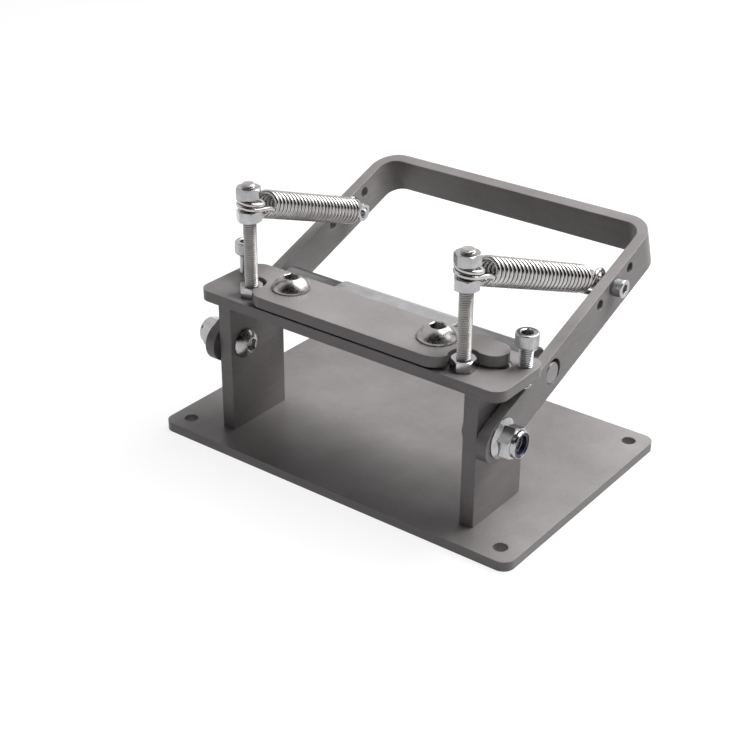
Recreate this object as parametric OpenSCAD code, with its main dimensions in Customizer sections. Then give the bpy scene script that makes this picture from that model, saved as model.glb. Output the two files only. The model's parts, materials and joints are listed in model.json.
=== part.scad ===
// Bench strap splitter: a fixed blade over a sprung roller.
// Origin: centre of the base plate's underside.
// X runs along the blade, +Y to the rear (towards the handle), +Z up.

/* [Base plate] */
// Width of the base plate, left to right
base_w = 191; // [184:1:230]
// Depth of the base plate, front to back
base_d = 126.5; // [115:0.5:160]
// Thickness of the base plate
base_t = 4.5; // [4:0.5:8]
// Corner radius of the base plate
base_r = 5.5; // [3:0.5:14]
// Diameter of the four bench mounting holes
mount_d = 6.5; // [4:0.1:8]
// Mounting hole centre to the nearest plate edges
mount_inset = 9.25; // [7:0.25:14]

/* [Uprights] */
// Distance between the uprights' inner faces
upright_gap = 125.8; // [110:0.2:130]
// Thickness of each upright
upright_t = 6.7; // [6:0.1:8]
// Depth of each upright, front to back
upright_d = 36; // [32:0.5:40]
// Height of each upright
upright_h = 62.8; // [58:0.2:80]
// Front edge of the base plate to the uprights' front faces
upright_setback = 13.65; // [8:0.05:18]
// Thread diameter of the countersunk screws through base and top plate
csk_d = 5; // [4:1:5]
// Head diameter of the countersunk screws
csk_head_d = 9.6; // [8:0.1:10]
// Length of the countersunk screws
csk_len = 16; // [12:1:20]
// Width across flats of the countersunk screws' sockets
csk_socket = 3; // [2.5:0.5:3.5]
// How far the countersunk heads lie below the plate's face
csk_sink = 0.3; // [0.1:0.1:0.6]
// Upright's front or rear face to the nearest base screw
base_screw_inset = 9; // [6:0.5:12]

/* [Top plate] */
// Thickness of the top plate
top_t = 5; // [4:0.5:7]
// Depth of the top plate, front to back
top_d = 35.25; // [33:0.25:37]
// How far the top plate stands out in front of the uprights
top_overhang = 1.65; // [0.5:0.05:4]
// Corner radius of the top plate
top_r = 6; // [3:0.5:9]
// Adjusting screw's axis to the end of the top plate
top_margin = 5.2; // [5:0.1:9]

/* [Blade and clamp plate] */
// Thickness of the blade
blade_t = 1; // [0.8:0.1:1.6]
// Front edge of the top plate to the blade's blunt edge
blade_setback = 4.25; // [3:0.25:6]
// Blade's cutting edge, measured forward from the roller's axis
blade_lead = 0.9; // [0:0.1:3]
// Width of the ground bevel on the blade
bevel_w = 3; // [2:0.5:5]
// Clearance from the blade's ends to the clamp screws' threads
blade_side_gap = 2; // [1:0.5:4]
// Thickness of the clamp plate
clamp_t = 5; // [4:0.5:7]
// Depth of the clamp plate, front to back
clamp_d = 29; // [27:0.5:31]
// Front edge of the clamp plate, measured back from the top plate's front edge
clamp_setback = -0.25; // [-1:0.25:0.5]
// Front corner radius of the clamp plate
clamp_r = 9; // [4:0.5:9]
// Clamp plate's body side, measured inwards from the stud's axis
clamp_side = 4.3; // [4:0.1:6]
// Radius of the notch round each stud
notch_r = 6.6; // [6.3:0.1:7]
// Width of the clamp plate's side wings, front to back
wing_w = 13.5; // [12:0.5:14]
// How far a wing reaches outwards past the stud's axis
wing_reach = 13.15; // [12:0.05:13.2]
// Distance of each clamp screw from the middle of the plate
clamp_screw_x = 39; // [30:0.5:42]
// Clamp plate's front edge to the clamp screws
clamp_screw_inset = 16.5; // [13:0.5:17]
// Thread diameter of the clamp screws
clamp_screw_d = 10; // [8:1:10]
// Head diameter of the clamp screws
clamp_head_d = 17.5; // [14:0.5:18]
// Head height of the clamp screws
clamp_head_h = 5.5; // [4.4:0.1:6]
// Width across flats of the clamp screws' sockets
clamp_socket = 6; // [5:0.5:6]

/* [Studs and spring nuts] */
// Stud's axis, measured inwards from the upright's inner face
stud_inset = 6.3; // [6:0.1:8]
// Top plate's front edge to the studs
stud_setback = 9.75; // [8:0.25:10]
// Thread diameter of the studs and adjusting screws
stud_d = 6; // [6:1:6]
// Width across flats of the stud nuts
nut_af = 10; // [10:0.5:10.5]
// Height of the stud nuts
nut_h = 5; // [4:0.5:6]
// Top plate's upper face to the underside of the lower spring nut
spring_nut_z = 35.4; // [24:0.2:44]
// How far the stud stands out of the upper spring nut
stud_end = 1.7; // [0.5:0.1:4]

/* [Handle] */
// Width of the handle's flat bar
bar_w = 17.5; // [17:0.5:19]
// Thickness of the handle's flat bar
bar_t = 5; // [4:0.5:6]
// Pivot to the outer face of the cross bar
handle_reach = 134.8; // [128:0.2:160]
// Outer bend radius of the handle's corners
bend_r = 13; // [7:0.5:14]
// Upright's front face to the pivot
pivot_inset = 9.1; // [9:0.1:12]
// Top of the uprights down to the pivot
pivot_drop = 21.1; // [20:0.1:24]
// Pivot to the middle of the arm's rounded end
arm_tail = 3.5; // [0:0.5:6]
// Pivot to the nearest spring hole, along the arm
spring_hole_s = 81; // [74:0.5:86]
// Spacing of the three spring holes
spring_hole_pitch = 13.2; // [12:0.2:15]
// Spring holes' distance above the arm's middle line
spring_hole_t = 4; // [3:0.1:5]

/* [Roller] */
// Outer diameter of the roller
roller_d = 18; // [16:0.5:19]
// Diameter of the roller's shaft
shaft_d = 10; // [8:0.5:10.5]
// Diameter of the hole for the shaft in each arm
shaft_hole_d = 11.6; // [11:0.1:12.4]
// Clearance from the uprights' rear faces to the roller
roller_clear = 1.5; // [1.2:0.1:3]
// Gap between the blade and the roller, where the strap passes
split_gap = 3.1; // [1:0.1:4]
// Shaft's height above the arm's middle line
shaft_rise = 0.35; // [0:0.05:1.2]
// Gap between the roller's end and the arm
roller_end_gap = 3.3; // [2.5:0.1:6]
// Outer diameter of the shaft's retaining rings
ring_d = 14; // [13:0.5:15]
// Thickness of the shaft's retaining rings
ring_t = 1; // [0.8:0.1:1.2]

/* [Pivot hardware] */
// Thread diameter of the pivot screws
pivot_d = 8; // [8:1:8]
// Head diameter of the pivot screws
pivot_head_d = 14; // [13:0.5:15]
// Head height of the pivot screws
pivot_head_h = 4.4; // [4:0.1:5]
// Width across flats of the pivot screws' sockets
pivot_socket = 5; // [4:0.5:6]
// Thickness of the washer between upright and arm
washer_t = 1.3; // [0.8:0.1:2]
// Outer diameter of that washer
washer_d = 16; // [14:0.5:17]
// Length of the pivot screws under the head
pivot_screw_len = 20.2; // [20:0.1:20.8]
// Flange diameter of the lock nuts
flange_d = 17.9; // [16.5:0.1:18]
// Flange thickness of the lock nuts
flange_t = 1.6; // [1.2:0.1:2]
// Width across flats of the lock nuts
lock_af = 13; // [13:0.5:14]
// Height of the lock nuts, flange and collar included
lock_h = 9.5; // [9.3:0.1:10]
// Height of the lock nuts' collar
collar_h = 2.2; // [1.8:0.1:2.4]
// Outer diameter of the lock nuts' collar
collar_d = 12.3; // [12:0.1:12.6]
// Outer diameter of the nylon rings in the lock nuts
nylon_d = 10.8; // [10.4:0.1:11]

/* [Adjusting screws] */
// Adjusting screw's axis, measured outwards from the middle of the arm
adjust_offset = 1.7; // [0:0.1:1.8]
// Top plate's rear edge to the adjusting screws
adjust_inset = 8.1; // [6:0.1:9]
// Length of the adjusting screws under the head
adjust_len = 20; // [19:1:30]
// Head diameter of the adjusting screws
adjust_head_d = 10; // [9:0.5:10.5]
// Head height of the adjusting screws
adjust_head_h = 6; // [5:0.5:7]
// Width across flats of the adjusting screws' sockets
adjust_socket = 5; // [4:0.5:5.5]

/* [Springs] */
// Outer diameter of the springs
spring_d = 12.8; // [11:0.2:13]
// Diameter of the spring wire
wire_d = 2.1; // [1.8:0.1:2.1]
// Number of turns in each spring's coil
coil_turns = 26; // [20:1:32]
// Height of the spring's three loops on the stud
loop_stack = 5.5; // [4.8:0.1:6]
// Stud's loop centre to the first turn
coil_lead = 9; // [8:0.5:12]
// Last turn to the rear loop's centre
hook_lead = 7.2; // [6:0.2:12]
// How far the rear loop stands out from the coil's axis towards the arm
hook_side = 3.6; // [0:0.2:4]
// Gap between the spring and the arm's inner face
spring_side_gap = 0.3; // [0.3:0.1:2]
// Thread diameter of the spring screws
pin_d = 5; // [5:1:5]
// Head diameter of the spring screws
pin_head_d = 8.5; // [8:0.5:9]
// Head height of the spring screws
pin_head_h = 5; // [4:0.5:6]
// Width across flats of the spring screws' sockets
pin_socket = 4; // [3:0.5:4.5]
// Width across flats of the nuts on the spring screws
pin_nut_af = 8; // [8:0.5:8.5]
// Thickness of the nuts on the spring screws
pin_nut_h = 4; // [2.7:0.1:4.7]
// Room for the spring's rear loop between the arm and that nut
pin_room = 5.4; // [4.6:0.1:6]
// How far the spring screws stand out of those nuts
pin_stick_out = 1.5; // [0.5:0.1:3]

/* [Fits] */
// Radial clearance of a turning pin in its hole
run_fit = 0.05; // [0.03:0.01:0.08]
// Radial clearance of a screw in the hole that holds it
thread_fit = 0.05; // [0.02:0.01:0.1]
// Radial clearance of a screw through a free hole
free_fit = 0.2; // [0.1:0.05:0.4]
// Side play of the handle's arms on the pivot screws
side_play = 0.1; // [0.05:0.05:0.2]
// Clearance left where two pieces just touch
touch = 0.02; // [0.01:0.01:0.05]

/* [Hidden] */
$fn = 64;

plate_grey = [0.42, 0.40, 0.40];
bright_steel = [0.78, 0.79, 0.81];
ground_steel = [0.66, 0.67, 0.69];
nylon_blue = [0.10, 0.18, 0.62];

// Heights
top_z = base_t + upright_h;
deck_z = top_z + top_t;
clamp_z = deck_z + blade_t;

// Positions along Y
upright_front = -base_d / 2 + upright_setback;
upright_rear = upright_front + upright_d;
top_front = upright_front - top_overhang;
top_rear = top_front + top_d;
clamp_front = top_front + clamp_setback;
clamp_rear = clamp_front + clamp_d;
clamp_screw_y = clamp_front + clamp_screw_inset;
stud_y = top_front + stud_setback;
adjust_y = top_rear - adjust_inset;
pivot_y = upright_front + pivot_inset;
pivot_z = top_z - pivot_drop;
roller_y = upright_rear + roller_clear + roller_d / 2;
roller_z = deck_z - split_gap - roller_d / 2;

// Positions along X, outwards from the middle
upright_in = upright_gap / 2;
upright_out = upright_in + upright_t;
arm_in = upright_out + washer_t + side_play;
arm_out = arm_in + bar_t;
stud_x = upright_in - stud_inset;
adjust_x = (arm_in + arm_out) / 2 + adjust_offset;
top_half = adjust_x + top_margin;
spring_rear_x = arm_in - spring_side_gap - spring_d / 2;

// The handle's rest angle follows from where the roller stands
roller_reach = norm([roller_y - pivot_y, roller_z - pivot_z]);
roller_rise = atan2(roller_z - pivot_z, roller_y - pivot_y);
rest_angle = roller_rise - asin(shaft_rise / roller_reach);
shaft_s = roller_reach * cos(roller_rise - rest_angle);

// Point of the handle's own frame (along the arm, square to it) in Y and Z
function arm_y(s, t) = pivot_y + s * cos(rest_angle) - t * sin(rest_angle);
function arm_z(s, t) = pivot_z + s * sin(rest_angle) + t * cos(rest_angle);

// The shaft lies on the front, lower side of its larger holes
hole_shift = (shaft_hole_d - shaft_d) / 2 - touch;
shaft_hole_s = shaft_s + hole_shift * cos(45);
shaft_hole_t = shaft_rise + hole_shift * sin(45);

// The adjusting screw's rounded tip rests on the arm's upper edge
tip_r = stud_d / 2;
tip_rise = bar_w / 2 + touch + tip_r + (adjust_y - pivot_y) * sin(rest_angle);
tip_centre_z = pivot_z + tip_rise / cos(rest_angle);
adjust_head_z = tip_centre_z - tip_r + adjust_len;

// Springs: loops stacked between the nuts, and round the spring screw
loop_r = (spring_d - wire_d) / 2;
loop_pitch = (loop_stack - wire_d) / 2;
lower_nut_z = deck_z + spring_nut_z;
loop_z = lower_nut_z + nut_h + loop_stack / 2;
upper_nut_z = lower_nut_z + nut_h + loop_stack;
stud_top = upper_nut_z + nut_h + stud_end;
front_pull = loop_r - wire_d / 2 - stud_d / 2 - touch;
rear_pull = loop_r - wire_d / 2 - pin_d / 2 - touch;
pin_s = spring_hole_s + spring_hole_pitch;
pin_y = arm_y(pin_s, spring_hole_t);
pin_z = arm_z(pin_s, spring_hole_t);
pull_angle = atan2(loop_z - pin_z, pin_y - stud_y);
spring_front = [stud_x, stud_y + front_pull, loop_z];
spring_rear = [spring_rear_x, pin_y - rear_pull * cos(pull_angle), pin_z + rear_pull * sin(pull_angle)];
spring_span = norm(spring_rear - spring_front);
coil_len = spring_span - coil_lead - hook_lead;
coil_pitch = (coil_len - wire_d) / (coil_turns - 1);
rear_loop_x = spring_rear_x + hook_side;
pin_nut_x = arm_in - pin_room - pin_nut_h;
pin_end_x = pin_nut_x - pin_stick_out;

module side(s) {
    mirror([s < 0 ? 1 : 0, 0, 0]) children();
}

module both_sides() {
    side(-1) children();
    side(1) children();
}

module along_x(x, y, z) {
    translate([x, y, z]) rotate([0, 90, 0]) children();
}

module rounded_rect(w, d, r) {
    square([w - 2 * r, d], center = true);
    square([w, d - 2 * r], center = true);
    for (x = [-1, 1], y = [-1, 1])
        translate([x * (w / 2 - r), y * (d / 2 - r)]) circle(r);
}

// Hexagon nut with both faces chamfered, standing on z = 0
module hex_nut(af, h, bore) {
    corner = af / cos(30) / 2;
    cut = corner - af / 2;
    difference() {
        intersection() {
            cylinder(h = h, r = corner, $fn = 6);
            rotate_extrude()
                polygon([[0, 0], [af / 2, 0], [corner, cut * 0.6], [corner, h - cut * 0.6], [af / 2, h], [0, h]]);
        }
        translate([0, 0, -1]) cylinder(h = h + 2, d = bore);
    }
}

// Socket button head: flat seat on z = 0, dome towards +Z
module button_head(d, h, socket) {
    rim = 0.6;
    face_r = socket / cos(30) / 2 + 0.5;
    dome_z = (face_r * face_r + h * h - d * d / 4 - rim * rim) / (2 * (h - rim));
    dome_r = norm([face_r, h - dome_z]);
    difference() {
        intersection() {
            cylinder(h = h, d = d);
            translate([0, 0, dome_z]) sphere(dome_r);
        }
        translate([0, 0, h * 0.42]) cylinder(h = h, r = socket / cos(30) / 2, $fn = 6);
    }
}

// Socket cap head: seat on z = 0, socket towards +Z
module cap_head(d, h, socket) {
    edge = 0.5;
    difference() {
        rotate_extrude()
            polygon([[0, 0], [d / 2, 0], [d / 2, h - edge], [d / 2 - edge, h], [0, h]]);
        translate([0, 0, h * 0.5]) cylinder(h = h, r = socket / cos(30) / 2, $fn = 6);
    }
}

// Countersunk screw: head's flat face on z = 0, point towards +Z
module csk_screw(len) {
    head_h = (csk_head_d - csk_d) / 2;
    difference() {
        rotate_extrude()
            polygon([[0, 0], [csk_head_d / 2, 0], [csk_d / 2, head_h], [csk_d / 2, len - 0.6], [csk_d / 2 - 0.6, len], [0, len]]);
        translate([0, 0, -1]) cylinder(h = head_h + 0.6, r = csk_socket / cos(30) / 2, $fn = 6);
    }
}

// The hole for that screw, with a small clearance all round
module csk_hole(len) {
    head_h = (csk_head_d - csk_d) / 2;
    c = thread_fit;
    rotate_extrude()
        polygon([
            [0, -2], [csk_head_d / 2 + c, -2], [csk_head_d / 2 + c, csk_sink],
            [csk_d / 2 + c, csk_sink + head_h], [csk_d / 2 + c, len], [0, len]
        ]);
}

module base_screw_places() {
    for (y = [upright_front + base_screw_inset, upright_rear - base_screw_inset])
        translate([upright_in + upright_t / 2, y, 0]) children();
}

module top_screw_place() {
    translate([upright_in + upright_t / 2, clamp_rear - wing_w / 2, deck_z]) rotate([180, 0, 0]) children();
}

module base_plate() {
    color(plate_grey)
    difference() {
        linear_extrude(base_t) rounded_rect(base_w, base_d, base_r);
        for (x = [-1, 1], y = [-1, 1])
            translate([x * (base_w / 2 - mount_inset), y * (base_d / 2 - mount_inset), -1])
                cylinder(h = base_t + 2, d = mount_d);
        both_sides() base_screw_places() csk_hole(csk_len + 2);
    }
}

module upright() {
    color(plate_grey)
    difference() {
        translate([upright_in, upright_front, base_t]) cube([upright_t, upright_d, upright_h]);
        along_x(upright_in - 1, pivot_y, pivot_z) cylinder(h = upright_t + 2, r = pivot_d / 2 + thread_fit);
        base_screw_places() csk_hole(csk_len + 2);
        top_screw_place() csk_hole(csk_len + 2);
    }
}

module left_upright() {
    side(-1) upright();
}

module right_upright() {
    upright();
}

module base_screws() {
    color(bright_steel)
    both_sides() base_screw_places() translate([0, 0, csk_sink + touch]) csk_screw(csk_len);
}

module top_plate() {
    color(plate_grey)
    difference() {
        translate([0, (top_front + top_rear) / 2, top_z])
            linear_extrude(top_t) rounded_rect(2 * top_half, top_d, top_r);
        both_sides() {
            top_screw_place() csk_hole(csk_len + 2);
            translate([stud_x, stud_y, top_z - 1]) cylinder(h = top_t + 2, r = stud_d / 2 + thread_fit);
            translate([adjust_x, adjust_y, top_z - 1]) cylinder(h = top_t + 2, r = stud_d / 2 + run_fit);
            translate([clamp_screw_x, clamp_screw_y, top_z - 1]) cylinder(h = top_t + 2, r = clamp_screw_d / 2 + thread_fit);
        }
    }
}

module top_plate_screws() {
    color(bright_steel)
    both_sides() top_screw_place() translate([0, 0, csk_sink + touch]) csk_screw(csk_len);
}

// Flat blade, ground on its upper side, cutting edge to the rear
module blade() {
    half = clamp_screw_x - clamp_screw_d / 2 - blade_side_gap;
    front = top_front + blade_setback;
    edge = roller_y - blade_lead;
    color(ground_steel)
    translate([-half, 0, 0]) rotate([90, 0, 90])
        linear_extrude(2 * half)
            polygon([[front, deck_z], [edge, deck_z], [edge, deck_z + 0.05], [edge - bevel_w, clamp_z], [front, clamp_z]]);
}

module clamp_outline() {
    half = stud_x - clamp_side;
    wing_y = clamp_rear - wing_w / 2;
    wing_x = stud_x + wing_reach - wing_w / 2;
    difference() {
        union() {
            translate([-half, clamp_front + clamp_r]) square([2 * half, clamp_d - clamp_r]);
            translate([-half + clamp_r, clamp_front]) square([2 * half - 2 * clamp_r, clamp_d]);
            for (x = [-1, 1])
                translate([x * (half - clamp_r), clamp_front + clamp_r]) circle(clamp_r);
            translate([-wing_x, clamp_rear - wing_w]) square([2 * wing_x, wing_w]);
            for (x = [-1, 1])
                translate([x * wing_x, wing_y]) circle(wing_w / 2);
        }
        for (x = [-1, 1])
            translate([x * stud_x, stud_y]) circle(notch_r);
    }
}

module clamp_plate() {
    color(plate_grey)
    difference() {
        translate([0, 0, clamp_z]) linear_extrude(clamp_t) clamp_outline();
        both_sides()
            translate([clamp_screw_x, clamp_screw_y, clamp_z - 1])
                cylinder(h = clamp_t + 2, r = clamp_screw_d / 2 + free_fit);
    }
}

module clamp_screws() {
    color(bright_steel)
    both_sides()
        translate([clamp_screw_x, clamp_screw_y, clamp_z + clamp_t]) {
            button_head(clamp_head_d, clamp_head_h, clamp_socket);
            translate([0, 0, -clamp_t - blade_t - top_t])
                cylinder(h = clamp_t + blade_t + top_t + 1, d = clamp_screw_d);
        }
}

module stud() {
    color(bright_steel)
    translate([stud_x, stud_y, top_z])
        rotate_extrude()
            polygon([
                [0, 0], [stud_d / 2, 0], [stud_d / 2, stud_top - top_z - 0.6],
                [stud_d / 2 - 0.6, stud_top - top_z], [0, stud_top - top_z]
            ]);
}

module left_stud() {
    side(-1) stud();
}

module right_stud() {
    stud();
}

// Two stud nuts at one height, each with its own turn
module stud_nut_pair(z, left_turn, right_turn) {
    color(bright_steel) {
        translate([-stud_x, stud_y, z]) rotate(left_turn) hex_nut(nut_af, nut_h, stud_d + 2 * thread_fit);
        translate([stud_x, stud_y, z]) rotate(right_turn) hex_nut(nut_af, nut_h, stud_d + 2 * thread_fit);
    }
}

module stud_base_nuts() {
    stud_nut_pair(deck_z, 12, 33);
}

module lower_spring_nuts() {
    stud_nut_pair(lower_nut_z, 25, 8);
}

module upper_spring_nuts() {
    stud_nut_pair(upper_nut_z, 2, 20);
}

// Button head on the upright's inner face, end inside the lock nut
module pivot_screw() {
    color(bright_steel)
    translate([upright_in, pivot_y, pivot_z]) {
        rotate([0, -90, 0]) button_head(pivot_head_d, pivot_head_h, pivot_socket);
        rotate([0, 90, 0])
            rotate_extrude()
                polygon([
                    [0, -1], [pivot_d / 2, -1], [pivot_d / 2, pivot_screw_len - 0.8],
                    [pivot_d / 2 - 0.8, pivot_screw_len], [0, pivot_screw_len]
                ]);
    }
}

module left_pivot_screw() {
    side(-1) pivot_screw();
}

module right_pivot_screw() {
    pivot_screw();
}

module pivot_washers() {
    color(bright_steel)
    both_sides() along_x(upright_out, pivot_y, pivot_z)
        difference() {
            cylinder(h = washer_t, d = washer_d);
            translate([0, 0, -1]) cylinder(h = washer_t + 2, r = pivot_d / 2 + free_fit);
        }
}

// Flanged lock nut, flange on z = 0, collar with a pocket for the nylon ring
module lock_nut() {
    hex_h = lock_h - collar_h;
    corner = lock_af / cos(30) / 2;
    difference() {
        union() {
            rotate_extrude()
                polygon([[0, 0], [flange_d / 2, 0], [flange_d / 2, 0.5], [lock_af / 2, flange_t + 0.6], [0, flange_t + 0.6]]);
            intersection() {
                cylinder(h = hex_h, r = corner, $fn = 6);
                rotate_extrude()
                    polygon([[0, 0], [corner, 0], [corner, hex_h - 0.6], [lock_af / 2, hex_h], [0, hex_h]]);
            }
            rotate_extrude()
                polygon([[0, hex_h - 1], [collar_d / 2, hex_h - 1], [collar_d / 2, lock_h - 0.8], [collar_d / 2 - 0.6, lock_h], [0, lock_h]]);
        }
        translate([0, 0, -1]) cylinder(h = lock_h + 2, r = pivot_d / 2 + thread_fit);
        translate([0, 0, hex_h - 0.2]) cylinder(h = lock_h, d = nylon_d);
    }
}

module pivot_lock_nuts() {
    color(bright_steel)
    both_sides() along_x(arm_out + side_play, pivot_y, pivot_z) rotate(10) lock_nut();
}

// Nylon ring seated in the collar, its bore smaller than the thread
module lock_nut_inserts() {
    color(nylon_blue)
    both_sides() along_x(arm_out + side_play + lock_h - collar_h - 0.2, pivot_y, pivot_z)
        difference() {
            cylinder(h = collar_h - 0.2, d = nylon_d - 2 * touch);
            translate([0, 0, -1]) cylinder(h = collar_h + 2, r = pivot_d / 2 + thread_fit);
        }
}

// Wire loop of the spring's own size, lying flat round z
module wire_loop() {
    rotate_extrude() translate([loop_r, 0]) circle(d = wire_d, $fn = 24);
}

// Ribbed tube with the coil's outer and inner diameters
module coil() {
    inner = spring_d / 2 - wire_d;
    ribs = [
        for (i = [0:coil_turns - 1], a = [-80, -45, 0, 45, 80])
            [loop_r + wire_d / 2 * cos(a), wire_d / 2 + i * coil_pitch + wire_d / 2 * sin(a)]
    ];
    rotate_extrude(convexity = 4)
        polygon(concat([[inner, 0], [loop_r, 0]], ribs, [[loop_r, coil_len], [inner, coil_len]]));
}

// Ends and direction of one spring: s is -1 for the left one and 1 for the right one
module along_spring(s) {
    front = [s * spring_front[0], spring_front[1], spring_front[2]];
    rear = [s * spring_rear[0], spring_rear[1], spring_rear[2]];
    d = rear - front;
    translate(front) rotate([0, acos(d[2] / spring_span), atan2(d[1], d[0])]) children();
}

// Loops round the stud, the hook behind them and the coil
module spring(s) {
    color(bright_steel) {
        for (i = [-1:1])
            translate([s * stud_x, spring_front[1], loop_z + i * loop_pitch]) wire_loop();
        along_spring(s) {
            translate([0, 0, coil_lead]) coil();
            translate([0, -loop_r, 0]) cylinder(h = coil_lead + wire_d, d = wire_d, $fn = 24);
        }
    }
}

// Loop round the spring screw, on the arm's side of the coil, with the wire that leads to it
module spring_hook(s) {
    start = coil_lead + coil_len + touch;
    color(bright_steel) {
        translate([s * rear_loop_x, spring_rear[1], spring_rear[2]]) rotate([0, 90, 0]) wire_loop();
        along_spring(s)
            translate([sqrt(loop_r * loop_r - hook_side * hook_side), -s * hook_side, start])
                cylinder(h = spring_span - hook_side - start, d = wire_d, $fn = 24);
    }
}

module left_spring() {
    spring(-1);
}

module right_spring() {
    spring(1);
}

module left_spring_hook() {
    spring_hook(-1);
}

module right_spring_hook() {
    spring_hook(1);
}

module adjusting_screw() {
    color(bright_steel)
    translate([adjust_x, adjust_y, 0]) {
        translate([0, 0, adjust_head_z]) cap_head(adjust_head_d, adjust_head_h, adjust_socket);
        translate([0, 0, tip_centre_z]) cylinder(h = adjust_head_z - tip_centre_z + 0.5, d = stud_d);
        translate([0, 0, tip_centre_z]) sphere(tip_r);
    }
}

module left_adjusting_screw() {
    side(-1) adjusting_screw();
}

module right_adjusting_screw() {
    adjusting_screw();
}

// Outline of the bent bar seen from above: x outwards, y along the arms
module handle_outline() {
    tail = -arm_tail - bar_w / 2;
    inner_bend = bend_r - bar_t;
    outer = arm_out;
    inner = arm_in;
    difference() {
        union() {
            translate([-outer, tail]) square([2 * outer, handle_reach - bend_r - tail]);
            translate([-outer + bend_r, tail]) square([2 * outer - 2 * bend_r, handle_reach - tail]);
            for (x = [-1, 1])
                translate([x * (outer - bend_r), handle_reach - bend_r]) circle(bend_r);
        }
        translate([-inner, tail - 1]) square([2 * inner, handle_reach - bend_r - tail + 1]);
        translate([-inner + inner_bend, tail - 1]) square([2 * inner - 2 * inner_bend, handle_reach - bar_t - tail + 1]);
        for (x = [-1, 1])
            translate([x * (inner - inner_bend), handle_reach - bar_t - inner_bend]) circle(inner_bend);
    }
}

module handle() {
    color(plate_grey)
    translate([0, pivot_y, pivot_z]) rotate([rest_angle, 0, 0])
        difference() {
            intersection() {
                translate([0, 0, -bar_w / 2]) linear_extrude(bar_w) handle_outline();
                union() {
                    translate([-arm_out - 1, -arm_tail, -bar_w / 2 - 1])
                        cube([2 * arm_out + 2, handle_reach + arm_tail + 1, bar_w + 2]);
                    along_x(-arm_out - 1, -arm_tail, 0) cylinder(h = 2 * arm_out + 2, d = bar_w);
                }
            }
            both_sides() {
                along_x(arm_in - 1, 0, 0) cylinder(h = bar_t + 2, r = pivot_d / 2 + run_fit);
                along_x(arm_in - 1, shaft_hole_s, shaft_hole_t) cylinder(h = bar_t + 2, d = shaft_hole_d);
                for (i = [0:2])
                    along_x(arm_in - 1, spring_hole_s + i * spring_hole_pitch, spring_hole_t)
                        cylinder(h = bar_t + 2, r = pin_d / 2 + thread_fit);
            }
        }
}

module roller_shaft() {
    edge = 0.5;
    color(bright_steel)
    along_x(0, roller_y, roller_z)
        rotate_extrude()
            polygon([
                [0, -arm_out], [shaft_d / 2 - edge, -arm_out], [shaft_d / 2, -arm_out + edge],
                [shaft_d / 2, arm_out - edge], [shaft_d / 2 - edge, arm_out], [0, arm_out]
            ]);
}

module shaft_rings() {
    color(bright_steel)
    both_sides() along_x(arm_in - touch - ring_t, roller_y, roller_z)
        difference() {
            cylinder(h = ring_t, d = ring_d);
            translate([0, 0, -1]) cylinder(h = ring_t + 2, r = shaft_d / 2 + touch);
        }
}

// Cap screw from the arm's outer face inwards, through the spring's loop
module spring_screw() {
    color(bright_steel)
    translate([0, pin_y, pin_z]) rotate([rest_angle, 0, 0]) {
        along_x(arm_out, 0, 0) cap_head(pin_head_d, pin_head_h, pin_socket);
        along_x(pin_end_x, 0, 0)
            rotate_extrude()
                polygon([
                    [0, 0], [pin_d / 2 - 0.9, 0], [pin_d / 2 - 0.4, 0.2], [pin_d / 2, 0.8],
                    [pin_d / 2, arm_out - pin_end_x + 0.5], [0, arm_out - pin_end_x + 0.5]
                ]);
    }
}

module left_spring_screw() {
    side(-1) spring_screw();
}

module right_spring_screw() {
    spring_screw();
}

module spring_screw_nuts() {
    color(bright_steel)
    both_sides() along_x(pin_nut_x, pin_y, pin_z) hex_nut(pin_nut_af, pin_nut_h, pin_d + 2 * thread_fit);
}

module roller() {
    half = arm_in - roller_end_gap;
    edge = 0.8;
    bore = shaft_d / 2 + run_fit;
    color(ground_steel)
    along_x(0, roller_y, roller_z)
        rotate_extrude()
            polygon([
                [bore, -half], [roller_d / 2 - edge, -half], [roller_d / 2, -half + edge],
                [roller_d / 2, half - edge], [roller_d / 2 - edge, half], [bore, half]
            ]);
}

base_plate();
left_upright();
right_upright();
base_screws();
top_plate();
top_plate_screws();
blade();
clamp_plate();
clamp_screws();
left_stud();
right_stud();
stud_base_nuts();
lower_spring_nuts();
upper_spring_nuts();
left_pivot_screw();
right_pivot_screw();
pivot_washers();
pivot_lock_nuts();
lock_nut_inserts();
left_spring();
left_spring_hook();
right_spring();
right_spring_hook();
left_adjusting_screw();
right_adjusting_screw();
handle();
roller_shaft();
shaft_rings();
left_spring_screw();
right_spring_screw();
spring_screw_nuts();
roller();
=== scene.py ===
import json
import math

import bmesh
import bpy
from mathutils import Matrix, Vector


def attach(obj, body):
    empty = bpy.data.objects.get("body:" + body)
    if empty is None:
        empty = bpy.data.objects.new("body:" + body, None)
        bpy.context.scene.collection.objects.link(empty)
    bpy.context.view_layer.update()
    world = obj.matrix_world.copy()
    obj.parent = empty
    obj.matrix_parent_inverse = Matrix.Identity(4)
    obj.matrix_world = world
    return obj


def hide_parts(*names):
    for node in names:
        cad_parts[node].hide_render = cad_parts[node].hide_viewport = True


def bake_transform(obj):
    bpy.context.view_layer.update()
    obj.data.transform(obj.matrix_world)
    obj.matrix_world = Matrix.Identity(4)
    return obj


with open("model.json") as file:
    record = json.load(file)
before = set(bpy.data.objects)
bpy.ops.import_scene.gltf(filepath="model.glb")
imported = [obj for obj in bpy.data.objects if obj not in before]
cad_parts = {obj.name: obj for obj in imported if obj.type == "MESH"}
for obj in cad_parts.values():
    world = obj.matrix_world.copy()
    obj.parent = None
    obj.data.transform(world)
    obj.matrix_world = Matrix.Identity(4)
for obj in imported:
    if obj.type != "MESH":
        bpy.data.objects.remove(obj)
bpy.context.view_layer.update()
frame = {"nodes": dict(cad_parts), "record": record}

mm = 0.001
sides = {"left": -1, "right": 1}


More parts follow.
